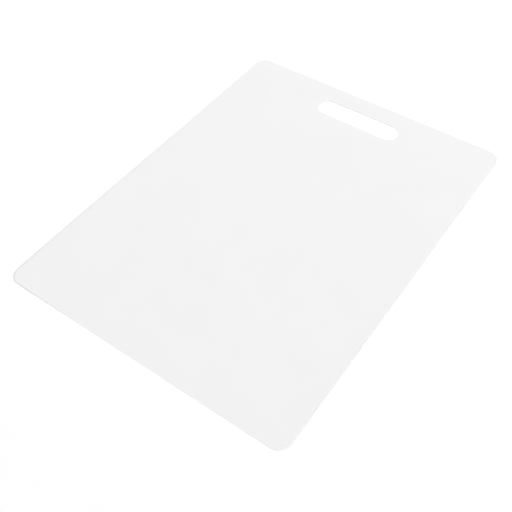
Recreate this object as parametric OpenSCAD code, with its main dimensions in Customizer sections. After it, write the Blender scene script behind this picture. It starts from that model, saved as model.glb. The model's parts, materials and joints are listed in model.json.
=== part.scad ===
// Flexible cutting mat: one thin sheet of frosted polypropylene, with round corners and a hand slot.
// X runs across the mat, Y runs along it towards the slot, and Z is up.
// The origin is the middle of the underside, where the mat rests.

/* [Sheet] */
// Width of the mat, along X
mat_w = 300; // [240:1:450]
// Length of the mat, along Y
mat_l = 400; // [300:1:600]
// Thickness of the sheet
sheet_t = 0.8; // [0.5:0.1:3]
// Radius of the four outer corners
corner_r = 12; // [3:0.5:30]

/* [Hand slot] */
// Length of the slot from end to end, along X, for four fingers
slot_l = 98; // [70:1:130]
// Width of the slot, along Y
slot_w = 23; // [16:0.5:35]
// Sheet left as a handle between the slot and the end of the mat
handle_w = 22; // [12:0.5:40]

/* [Bend lines] */
// Bend lines that cross the slot, in each half of the mat. Neighbouring strips of the sheet turn on a bend line.
slot_bends = 6; // [2:1:8]
// Bend lines between each end of the slot and the long edge beside it
side_bends = 6; // [2:1:8]
// Slit between neighbouring strips at a bend line, so that they turn without rubbing
slit = 0.02; // [0.01:0.01:0.2]

/* [Hidden] */
frosted = [0.95, 0.95, 0.95];
$fn = 96;

// Middle of the slot, along Y
slot_y = mat_l / 2 - handle_w - slot_w / 2;
// Bend lines in each half of the mat
bends = slot_bends + side_bends;

function side_name(side, i) = str(side, "_strip_", i < 10 ? "0" : "", i);

// A sheet squeezed by its two long edges curves as a cosine, most in the middle and not at all at the edges.
// Its slope then grows as a sine, so bend lines at equal steps of that sine all turn through the same angle.
function sine_at(x) = sin(180 * x / mat_w);
function x_at(sine) = mat_w / 180 * asin(sine);

// The steps within the slot and beyond it differ a little, so that the slot ends midway across a strip.
slot_sine = sine_at(slot_l / 2);
function bend_sine(i) =
  i <= slot_bends
    ? slot_sine * (i - 0.5) / slot_bends
    : 1 - (1 - slot_sine) * (bends - i + 0.5) / side_bends;
function bend_x(i) = x_at(bend_sine(i));

module slot_outline() {
  half_run = (slot_l - slot_w) / 2;
  square([2 * half_run, slot_w], center = true);
  for (side = [-1, 1]) {
    translate([side * half_run, 0]) circle(d = slot_w);
  }
}

module sheet_outline() {
  square([mat_w - 2 * corner_r, mat_l], center = true);
  square([mat_w, mat_l - 2 * corner_r], center = true);
  for (x = [-1, 1], y = [-1, 1]) {
    translate([x * (mat_w / 2 - corner_r), y * (mat_l / 2 - corner_r)]) circle(corner_r);
  }
}

// A slice of the sheet. It turns on its neighbour about the bend line between them, in the upper face.
module sheet_strip(from_x, to_x) {
  color(frosted)
  linear_extrude(sheet_t)
  difference() {
    intersection() {
      sheet_outline();
      translate([from_x, -mat_l / 2]) square([to_x - from_x, mat_l]);
    }
    translate([0, slot_y]) slot_outline();
  }
}

function strip_start_x(i) = bend_x(i) + slit / 2;
function strip_end_x(i) = i == bends ? mat_w / 2 : bend_x(i + 1) - slit / 2;

module centre_strip() {
  sheet_strip(-strip_end_x(0), strip_end_x(0));
}

module left_strip(i) {
  sheet_strip(-strip_end_x(i), -strip_start_x(i));
}

module right_strip(i) {
  sheet_strip(strip_start_x(i), strip_end_x(i));
}

centre_strip();
for (i = [1:bends]) {
  left_strip(i);
  right_strip(i);
}
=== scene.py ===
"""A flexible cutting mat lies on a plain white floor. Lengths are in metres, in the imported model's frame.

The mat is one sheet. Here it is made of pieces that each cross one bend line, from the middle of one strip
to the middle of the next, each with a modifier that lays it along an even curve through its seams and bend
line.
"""
import json
import math

import bmesh
import bpy
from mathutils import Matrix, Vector

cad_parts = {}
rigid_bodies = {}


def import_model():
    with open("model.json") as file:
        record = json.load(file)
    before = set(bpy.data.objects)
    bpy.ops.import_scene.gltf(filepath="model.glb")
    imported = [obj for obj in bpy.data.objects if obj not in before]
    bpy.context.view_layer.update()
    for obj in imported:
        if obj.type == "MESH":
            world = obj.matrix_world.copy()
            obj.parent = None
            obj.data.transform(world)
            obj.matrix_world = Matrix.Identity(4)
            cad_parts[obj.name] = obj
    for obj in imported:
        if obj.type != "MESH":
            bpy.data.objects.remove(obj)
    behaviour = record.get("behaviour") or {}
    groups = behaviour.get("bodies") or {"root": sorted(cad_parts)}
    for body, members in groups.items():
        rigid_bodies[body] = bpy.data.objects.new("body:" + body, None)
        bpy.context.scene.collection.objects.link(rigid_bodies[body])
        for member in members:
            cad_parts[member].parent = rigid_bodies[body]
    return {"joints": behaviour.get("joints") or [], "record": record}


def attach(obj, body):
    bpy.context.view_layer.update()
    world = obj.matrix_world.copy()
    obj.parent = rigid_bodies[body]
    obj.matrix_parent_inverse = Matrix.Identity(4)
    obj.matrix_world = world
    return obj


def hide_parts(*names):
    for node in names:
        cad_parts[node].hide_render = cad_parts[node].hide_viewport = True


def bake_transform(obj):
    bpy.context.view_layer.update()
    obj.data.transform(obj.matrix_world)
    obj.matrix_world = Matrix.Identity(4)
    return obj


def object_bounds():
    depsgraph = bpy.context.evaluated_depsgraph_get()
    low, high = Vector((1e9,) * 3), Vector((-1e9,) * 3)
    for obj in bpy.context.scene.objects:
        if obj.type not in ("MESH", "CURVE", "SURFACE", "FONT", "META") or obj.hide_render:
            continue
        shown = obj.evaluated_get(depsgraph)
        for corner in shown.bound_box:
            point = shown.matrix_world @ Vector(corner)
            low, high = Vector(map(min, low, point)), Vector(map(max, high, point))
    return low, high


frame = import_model()
cad_low, cad_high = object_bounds()

# The sheet's outline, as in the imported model
HALF_W = cad_high.x
HALF_L = cad_high.y
TOP = cad_high.z
CORNER_R = 0.012
SLOT_L = 0.098
SLOT_R = 0.0115
HANDLE_W = 0.022
SLOT_Y = HALF_L - HANDLE_W - SLOT_R
SLOT_ARC_X = SLOT_L / 2 - SLOT_R
SLOT_TIP_X = SLOT_L / 2

# The cut edge: how far in from the outline the flat faces end, and how its two rims are rounded
FLAT_MARGIN = 0.001
TOP_ROUND = 0.0003
LOW_ROUND = 0.0002
ROUND_STEPS = 4

# The near left corner doesn't lie quite flat: its lift, and how far it reaches across and along the mat
CORNER_LIFT = 0.0016
LIFT_ACROSS = 0.1
LIFT_ALONG = 0.35

# The mesh: how fine its rows, columns and arcs are
ROW = 0.012
ARC_STEP = 7.5
HALF_COLUMNS = 4
SEAM_SHARE = 0.02
CUT_TOLERANCE = 1e-7
SAME_PLACE = 1e-6

# The camera stands where the photograph was taken from
CAMERA_AT = Vector((0.2845, -0.4033, 0.5350))
CAMERA_AIM = Vector((0.0196, -0.0509, 0))
CAMERA_ROLL = math.radians(-1.91)
CAMERA_LENS = 52.61

# The floor lies just under the sheet, so that their faces don't coincide
FLOOR_Z = -0.00005
FLOOR_SIZE = 12
FLOOR_COLOUR = 0.92

# How much lighter the floor looks than it is: near the mat, and far from it. The reaches are from the middle.
NEAR_GLOW = 0.095
FAR_GLOW = 0.5
NEAR_REACH = 0.3
FAR_REACH = 1.2

# The light from all round, and how far it leans towards the near side
WORLD_LIGHT = 0.41
WORLD_LEAN = (0, -WORLD_LIGHT, 0)

# The two key lights, and the soft lamp beyond the far end
KEY_ELEVATION = math.radians(36)
KEY_ANGLE = math.radians(10)
RIGHT_KEY_POWER = 1.37
LEFT_KEY_POWER = 1.2
FAR_AT = Vector((0.3, 1.5, 1.5))
FAR_SIZE = 0.6
FAR_POWER = 8

# The frosted surface: its colour and roughness, and how much each varies
SHEET_COLOUR = 0.9
SHEET_SPREAD = 0.012
EDGE_SPREAD = 0.02
ROUGHNESS = 0.7
ROUGHNESS_SPREAD = 0.1
PLASTIC_IOR = 1.49

# Its clouds and its grain per metre, the band of their noise that is used, and the grain's relief
CLOUD = dict(Scale=22, Detail=3, Roughness=0.55)
GRAIN = dict(Scale=1400, Detail=2, Roughness=0.6)
BAND = dict(From_Min=0.3, From_Max=0.7)
RELIEF = dict(Distance=0.00005, Strength=0.25)


def hinge_lines(side_name):
    """One half's bend lines, from the middle outwards: (distance from the middle, inner body, outer body)."""
    found = [j for j in frame["joints"] if j["child"].startswith(side_name)]
    return sorted((abs(j["pos_m"][0]), j["parent"], j["child"]) for j in found)


def seam_lines(hinges):
    """Where the pieces of one half meet: the middle of each strip, or clear of the slot's end."""
    seams = [0.0]
    for x, x_next in zip(hinges, hinges[1:] + [HALF_W]):
        near = SLOT_TIP_X if x < SLOT_TIP_X < x_next else x
        seams.append((near + x_next) / 2)
    return seams


def arc(centre_x, centre_y, radius, start, end):
    """Points along an arc, with both of its ends. Angles are in degrees."""
    steps = max(1, round(abs(end - start) / ARC_STEP))
    angles = [math.radians(start + (end - start) * k / steps) for k in range(steps + 1)]
    return [(centre_x + radius * math.cos(a), centre_y + radius * math.sin(a)) for a in angles]


def slot_edge(x_from, x_to):
    """The flat face's edge below the slot, from one column out to another, or to the slot's end."""
    radius = SLOT_R + FLAT_MARGIN

    def angle(x):
        return -math.degrees(math.acos(min(max((x - SLOT_ARC_X) / radius, 0), 1)))

    points = []
    if x_from < SLOT_ARC_X:
        points.append((x_from, SLOT_Y - radius))
    if x_to > SLOT_ARC_X:
        points += arc(SLOT_ARC_X, SLOT_Y, radius, angle(x_from), angle(x_to))
    else:
        points.append((x_to, SLOT_Y - radius))
    return points


def flat_shapes(x_from, x_to):
    """The outlines of the flat face between two columns, each a loop of points."""
    low, high = -HALF_L + FLAT_MARGIN, HALF_L - FLAT_MARGIN
    slot_end = SLOT_TIP_X + FLAT_MARGIN
    if x_to >= HALF_W:
        radius = CORNER_R - FLAT_MARGIN
        x, y = HALF_W - CORNER_R, HALF_L - CORNER_R
        return [[(x_from, low), *arc(x, -y, radius, -90, 0), *arc(x, y, radius, 0, 90), (x_from, high)]]
    if x_from > slot_end:
        return [[(x_from, low), (x_to, low), (x_to, high), (x_from, high)]]
    lower = slot_edge(x_from, x_to)
    upper = [(x, 2 * SLOT_Y - y) for x, y in lower]
    if x_to > slot_end:
        return [[(x_from, low), (x_to, low), (x_to, high), (x_from, high), *upper, *lower[-2::-1]]]
    return [[(x_from, low), (x_to, low), *lower[::-1]], [*upper, (x_to, high), (x_from, high)]]


def nearest_edge(point):
    """The point of the outline nearest to a point just inside the sheet, and the way out of it there."""
    x, y = point
    way_y = math.copysign(1, y)
    corner = Vector((HALF_W - CORNER_R, way_y * (HALF_L - CORNER_R)))
    if x > corner.x and abs(y) > abs(corner.y):
        out = (point - corner).normalized()
        return corner + out * CORNER_R, out
    slot = Vector((min(x, SLOT_ARC_X), SLOT_Y))
    out = (slot - point).normalized()
    found = [
        ((slot - point).length - SLOT_R, slot - out * SLOT_R, out),
        (HALF_W - x, Vector((HALF_W, y)), Vector((1, 0))),
        (HALF_L - abs(y), Vector((x, way_y * HALF_L)), Vector((0, way_y))),
    ]
    return min(found, key=lambda f: f[0])[1:]


def lift(side, x, y):
    """How high the sheet's underside is above the floor."""
    if side > 0:
        return 0
    across = max(0, 1 - (HALF_W - x) / LIFT_ACROSS)
    along = max(0, 1 - (HALF_L + y) / LIFT_ALONG)
    return CORNER_LIFT * across**2 * along**2 * (3 - 2 * along)


def rim_profile():
    """The cut edge from the upper face to the underside: (distance in from the outline, height)."""
    quarter = [math.pi / 2 * k / ROUND_STEPS for k in range(ROUND_STEPS + 1)]
    top = [(TOP_ROUND * (1 - math.sin(a)), TOP - TOP_ROUND * (1 - math.cos(a))) for a in quarter]
    low = [(LOW_ROUND * (1 - math.cos(a)), LOW_ROUND * (1 - math.sin(a))) for a in quarter]
    return top + low


def bezier_share(x, x_from, x_hinge, x_to):
    """The share at which a quadratic Bezier curve along three columns of the flat sheet reaches x."""
    near, far = x_hinge - x_from, x_to - x_hinge
    return (x - x_from) / (near + math.sqrt(near * near + (far - near) * (x - x_from)))


def bend_columns(x_from, x_hinge, x_to):
    """A bending piece's columns: even steps of the bend, its bend line, and one close to each seam."""
    middle = bezier_share(x_hinge, x_from, x_hinge, x_to)
    steps = [k / HALF_COLUMNS for k in range(HALF_COLUMNS)]
    shares = [middle * s for s in steps] + [middle + (1 - middle) * s for s in steps]
    shares += [SEAM_SHARE, 1 - SEAM_SHARE, 1]
    first, second = 2 * (x_hinge - x_from), x_from + x_to - 2 * x_hinge
    return [x_from + first * t + second * t * t for t in sorted(shares)]


def cut(flat, point, normal):
    """Cuts a flat mesh along a line."""
    everything = flat.verts[:] + flat.edges[:] + flat.faces[:]
    bmesh.ops.bisect_plane(flat, geom=everything, dist=CUT_TOLERANCE, plane_co=point, plane_no=normal)


def cut_flat(shape, columns):
    """A flat mesh inside one outline, cut along its columns and its rows."""
    flat = bmesh.new()
    flat.faces.new([flat.verts.new((x, y, 0)) for x, y in shape])
    rows = sorted({y for _, y in shape})
    count = round((rows[-1] - rows[0]) / ROW)
    even = [rows[0] + (rows[-1] - rows[0]) * k / count for k in range(1, count)]
    rows += [y for y in even if min(abs(y - r) for r in rows) > ROW / 3]
    for y in sorted(rows)[1:-1]:
        cut(flat, (0, y, 0), (0, 1, 0))
    for x in columns[1:-1]:
        cut(flat, (x, 0, 0), (1, 0, 0))
    return flat


class SheetPiece:
    """The closed mesh of one piece of the sheet: two flat faces, the cut edge, and a cap on each seam."""

    def __init__(self, side, columns, seams):
        self.side = side
        self.seams = seams
        self.bm = bmesh.new()
        self.uv = self.bm.loops.layers.uv.new("sheet")
        self.place = {}
        for shape in flat_shapes(columns[0], columns[-1]):
            flat = cut_flat(shape, columns)
            self.add(flat)
            flat.free()
        bmesh.ops.recalc_face_normals(self.bm, faces=self.bm.faces[:])

    def vert(self, x, y, z, place=None):
        """A vertex, and its place on the texture, where the cut edge is laid out flat round the sheet."""
        v = self.bm.verts.new((self.side * x, y, z))
        u, w = place or (x, y)
        self.place[v] = (self.side * u, w)
        return v

    def face(self, verts, material=0):
        f = self.bm.faces.new(verts)
        f.smooth = True
        f.material_index = material
        for loop in f.loops:
            u, w = self.place[loop.vert]
            loop[self.uv].uv = (u / (2 * HALF_L) + 0.5, w / (2 * HALF_L) + 0.5)
        return f

    def on_seam(self, edge):
        return any(all(abs(v.co.x - x) < SAME_PLACE for v in edge.verts) for x in self.seams)

    def rim(self, point):
        """The vertices down the cut edge beside one vertex of the flat face."""
        edge, out = nearest_edge(point)
        verts, run, last = [], -FLAT_MARGIN, (FLAT_MARGIN, TOP)
        for inset, z in rim_profile():
            run += math.dist(last, (inset, z))
            last = (inset, z)
            verts.append(self.vert(*(edge - out * inset), z, tuple(edge + out * run)))
        return verts

    def add(self, flat):
        """Makes the solid over one flat mesh, its first row first, since the even bend reads that row."""
        verts = sorted(flat.verts, key=lambda v: (round(v.co.y, 7), v.co.x))
        tops = {v: self.vert(v.co.x, v.co.y, TOP) for v in verts}
        lows = {v: self.vert(v.co.x, v.co.y, 0) for v in verts}
        for f in flat.faces:
            self.face([tops[v] for v in f.verts])
            self.face([lows[v] for v in f.verts])
        border = [e for e in flat.edges if e.is_boundary]
        rims = {}
        for v in {v for e in border if not self.on_seam(e) for v in e.verts}:
            rims[v] = [tops[v], *self.rim(v.co.xy), lows[v]]
        caps = []
        for e in border:
            a, b = e.verts
            if self.on_seam(e):
                caps.append(self.face([tops[a], lows[a], lows[b], tops[b]]))
                caps += [self.face(rims[v]) for v in e.verts if v in rims]
            else:
                for a1, a2, b1, b2 in zip(rims[a], rims[a][1:], rims[b], rims[b][1:]):
                    self.face([a1, a2, b2, b1], material=1)
        for f in caps:
            for e in f.edges:
                e.smooth = False

    def object(self, name):
        mesh = bpy.data.meshes.new(name)
        self.bm.to_mesh(mesh)
        self.bm.free()
        for material in (sheet_material, edge_material):
            mesh.materials.append(material)
        piece = bpy.data.objects.new(name, mesh)
        bpy.context.scene.collection.objects.link(piece)
        return piece


def even_bend():
    """A node group that lays a piece of the sheet along a quadratic Bezier curve, which keeps its thickness.

    The curve's three points are the first row's vertices in the piece's two seams and its bend line, so it
    meets the next piece's curve without a kink.
    """
    group = bpy.data.node_groups.new("even_bend", "GeometryNodeTree")
    for way in ("INPUT", "OUTPUT"):
        group.interface.new_socket("Geometry", in_out=way, socket_type="NodeSocketGeometry")
    nodes, links = group.nodes, group.links
    position = nodes.new("GeometryNodeInputPosition").outputs[0]

    def attribute(name):
        node = nodes.new("GeometryNodeInputNamedAttribute")
        node.data_type = "FLOAT"
        node.inputs["Name"].default_value = name
        return node.outputs[0]

    def column_point(index):
        node = nodes.new("GeometryNodeFieldAtIndex")
        node.data_type = "FLOAT_VECTOR"
        node.inputs["Index"].default_value = index
        links.new(position, node.inputs["Value"])
        return node.outputs[0]

    def vector(operation, a, b):
        node = nodes.new("ShaderNodeVectorMath")
        node.operation = operation
        links.new(a, node.inputs[0])
        if isinstance(b, tuple):
            node.inputs[1].default_value = b
        elif b is not None:
            links.new(b, node.inputs["Scale" if operation == "SCALE" else 1])
        return node.outputs[0]

    def between(a, b, share):
        return vector("ADD", a, vector("SCALE", vector("SUBTRACT", b, a), share))

    share = attribute("bend_share")
    seam_in, hinge, seam_out = [column_point(k * (HALF_COLUMNS + 1)) for k in range(3)]
    before, after = between(seam_in, hinge, share), between(hinge, seam_out, share)
    along = vector("SUBTRACT", after, before)
    up = vector("NORMALIZE", vector("CROSS_PRODUCT", along, (0, 1, 0)), None)
    moved = vector("ADD", between(before, after, share), vector("SCALE", up, attribute("bend_height")))
    parts, whole = [nodes.new("ShaderNodeSeparateXYZ") for _ in range(2)]
    links.new(moved, parts.inputs[0])
    links.new(position, whole.inputs[0])
    joined = nodes.new("ShaderNodeCombineXYZ")
    for source, axis in ((parts, "X"), (whole, "Y"), (parts, "Z")):
        links.new(source.outputs[axis], joined.inputs[axis])
    setter = nodes.new("GeometryNodeSetPosition")
    links.new(nodes.new("NodeGroupInput").outputs[0], setter.inputs["Geometry"])
    links.new(joined.outputs[0], setter.inputs["Position"])
    links.new(setter.outputs[0], nodes.new("NodeGroupOutput").inputs[0])
    return group


def bend_evenly(piece, side, x_from, x_hinge, x_to):
    """Gives a piece the shares and heights that the even bend reads, and the bend itself."""
    verts = piece.data.vertices
    shares = [bezier_share(side * v.co.x, x_from, x_hinge, x_to) for v in verts]
    heights = [side * (v.co.z - TOP + lift(side, side * v.co.x, v.co.y)) for v in verts]
    for name, values in (("bend_share", shares), ("bend_height", heights)):
        piece.data.attributes.new(name, "FLOAT", "POINT").data.foreach_set("value", values)
    piece.modifiers.new("even_bend", "NODES").node_group = bend_nodes


def half_sheet(side_name, side):
    """The pieces of one half of the sheet."""
    lines = hinge_lines(side_name)
    seams = seam_lines([x for x, _, _ in lines])
    for k, ((x_hinge, inner, outer), x_from, x_to) in enumerate(zip(lines, seams, seams[1:]), 1):
        built = SheetPiece(side, bend_columns(x_from, x_hinge, x_to), (x_from, x_to))
        piece = built.object(f"sheet_{side_name}_{k:02d}")
        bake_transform(piece)
        bend_evenly(piece, side, x_from, x_hinge, x_to)
        for body in (inner, outer):
            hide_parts(*frame["record"]["behaviour"]["bodies"][body])
    columns = (seams[-1], HALF_W - CORNER_R, HALF_W)
    piece = SheetPiece(side, columns, seams[-1:]).object(f"sheet_{side_name}_edge")
    for v in piece.data.vertices:
        v.co.z += lift(side, side * v.co.x, v.co.y)
    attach(piece, outer)
    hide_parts(*frame["record"]["behaviour"]["bodies"][outer])


class Nodes:
    """The nodes of a new material or world, with a short way to add and join them."""

    def __init__(self, owner):
        owner.use_nodes = True
        self.tree = owner.node_tree
        self.tree.nodes.clear()

    def add(self, kind, operation=None, **inputs):
        """A node with some inputs set, each to a number, a colour or another node's output."""
        node = self.tree.nodes.new("ShaderNode" + kind)
        if operation:
            node.operation = operation
        for name, value in inputs.items():
            socket = node.inputs[int(name[1:]) if name[1:].isdigit() else name.replace("_", " ")]
            if isinstance(value, bpy.types.NodeSocket):
                self.tree.links.new(value, socket)
            else:
                socket.default_value = value
        return node


def grey(value):
    return (value, value, value, 1)


def frosted(name, spread):
    """Frosted polypropylene: faintly cloudy, with a fine matt grain."""
    material = bpy.data.materials.new(name)
    nodes = Nodes(material)
    place = nodes.add("UVMap")
    place.uv_map = "sheet"
    at = nodes.add("VectorMath", "SCALE", _0=place.outputs[0], Scale=2 * HALF_L).outputs[0]
    cloud = nodes.add("TexNoise", Vector=at, **CLOUD).outputs["Fac"]
    grain = nodes.add("TexNoise", Vector=at, **GRAIN).outputs["Fac"]
    shade = nodes.add("MapRange", Value=cloud, To_Min=SHEET_COLOUR - spread, To_Max=SHEET_COLOUR, **BAND)
    tone = nodes.add("CombineColor", Red=shade.outputs[0], Green=shade.outputs[0], Blue=shade.outputs[0])
    matt = nodes.add("MapRange", Value=grain, To_Min=ROUGHNESS, To_Max=ROUGHNESS + ROUGHNESS_SPREAD, **BAND)
    bump = nodes.add("Bump", Height=grain, **RELIEF)
    surface = nodes.add(
        "BsdfPrincipled",
        Base_Color=tone.outputs[0],
        Roughness=matt.outputs[0],
        IOR=PLASTIC_IOR,
        Normal=bump.outputs[0],
    )
    nodes.add("OutputMaterial", Surface=surface.outputs[0])
    return material


def floor_material():
    """A floor that looks a little lighter than it is, so that it is white and keeps the mat's shadow."""
    material = bpy.data.materials.new("white_floor")
    nodes = Nodes(material)
    path = nodes.add("LightPath").outputs
    seen = nodes.add("Math", "MAXIMUM", _0=path["Is Camera Ray"], _1=path["Is Glossy Ray"])
    seen = nodes.add("Math", "MAXIMUM", _0=seen.outputs[0], _1=path["Is Transmission Ray"])
    reach = nodes.add("VectorMath", "LENGTH", _0=nodes.add("NewGeometry").outputs["Position"])
    glow = nodes.add(
        "MapRange",
        Value=reach.outputs["Value"],
        From_Min=NEAR_REACH,
        From_Max=FAR_REACH,
        To_Min=NEAR_GLOW,
        To_Max=FAR_GLOW,
    )
    glow.interpolation_type = "SMOOTHSTEP"
    shown = nodes.add("Math", "MULTIPLY", _0=seen.outputs[0], _1=glow.outputs[0])
    paint = nodes.add("BsdfDiffuse", Color=grey(FLOOR_COLOUR))
    light = nodes.add("Emission", Color=grey(1), Strength=shown.outputs[0])
    both = nodes.add("AddShader", _0=paint.outputs[0], _1=light.outputs[0])
    nodes.add("OutputMaterial", Surface=both.outputs[0])
    return material


def floor():
    mesh = bpy.data.meshes.new("floor")
    reach = FLOOR_SIZE / 2
    corners = [(x * reach, y * reach, FLOOR_Z) for x, y in ((-1, -1), (1, -1), (1, 1), (-1, 1))]
    mesh.from_pydata(corners, [], [(0, 1, 2, 3)])
    mesh.materials.append(floor_material())
    plane = bpy.data.objects.new("floor", mesh)
    bpy.context.scene.collection.objects.link(plane)


def world():
    """Light from all round, stronger from the near side, which looks pure white where it is seen."""
    sky = bpy.data.worlds.new("studio")
    bpy.context.scene.world = sky
    nodes = Nodes(sky)
    way = nodes.add("TexCoord").outputs["Generated"]
    lean = nodes.add("VectorMath", "DOT_PRODUCT", _0=way, _1=WORLD_LEAN)
    light = nodes.add("Math", "ADD", _0=lean.outputs["Value"], _1=WORLD_LIGHT)
    seen = nodes.add("LightPath").outputs["Is Camera Ray"]
    strength = nodes.add("MapRange", Value=seen, To_Min=light.outputs[0], To_Max=1)
    background = nodes.add("Background", Color=grey(1), Strength=strength.outputs[0])
    nodes.add("OutputWorld", Surface=background.outputs[0])


def add_light(name, kind, power, at):
    """A lamp that faces the middle of the mat."""
    data = bpy.data.lights.new(name, kind)
    data.energy = power
    lit = bpy.data.objects.new(name, data)
    lit.location = at
    lit.rotation_euler = (-at).to_track_quat("-Z", "Y").to_euler()
    bpy.context.scene.collection.objects.link(lit)
    return data


def lamps():
    """A key light on the right and one on the left, and a soft lamp beyond the far end."""
    for name, side, power in (("right_key", 1, RIGHT_KEY_POWER), ("left_key", -1, LEFT_KEY_POWER)):
        at = Vector((side * math.cos(KEY_ELEVATION), 0, math.sin(KEY_ELEVATION)))
        add_light(name, "SUN", power, at).angle = KEY_ANGLE
    far = add_light("far", "AREA", FAR_POWER, FAR_AT)
    far.shape = "DISK"
    far.size = FAR_SIZE


def camera():
    data = bpy.data.cameras.new("camera")
    data.lens = CAMERA_LENS
    eye = bpy.data.objects.new("camera", data)
    eye.location = CAMERA_AT
    eye.rotation_euler = (CAMERA_AIM - CAMERA_AT).to_track_quat("-Z", "Y").to_euler()
    eye.rotation_euler.rotate_axis("Z", CAMERA_ROLL)
    bpy.context.scene.collection.objects.link(eye)
    bpy.context.scene.camera = eye


bpy.context.scene.view_settings.view_transform = "Standard"
camera()
world()
floor()
lamps()

sheet_material = frosted("frosted_sheet", SHEET_SPREAD)
edge_material = frosted("cut_edge", EDGE_SPREAD)
bend_nodes = even_bend()
half_sheet("left", -1)
half_sheet("right", 1)
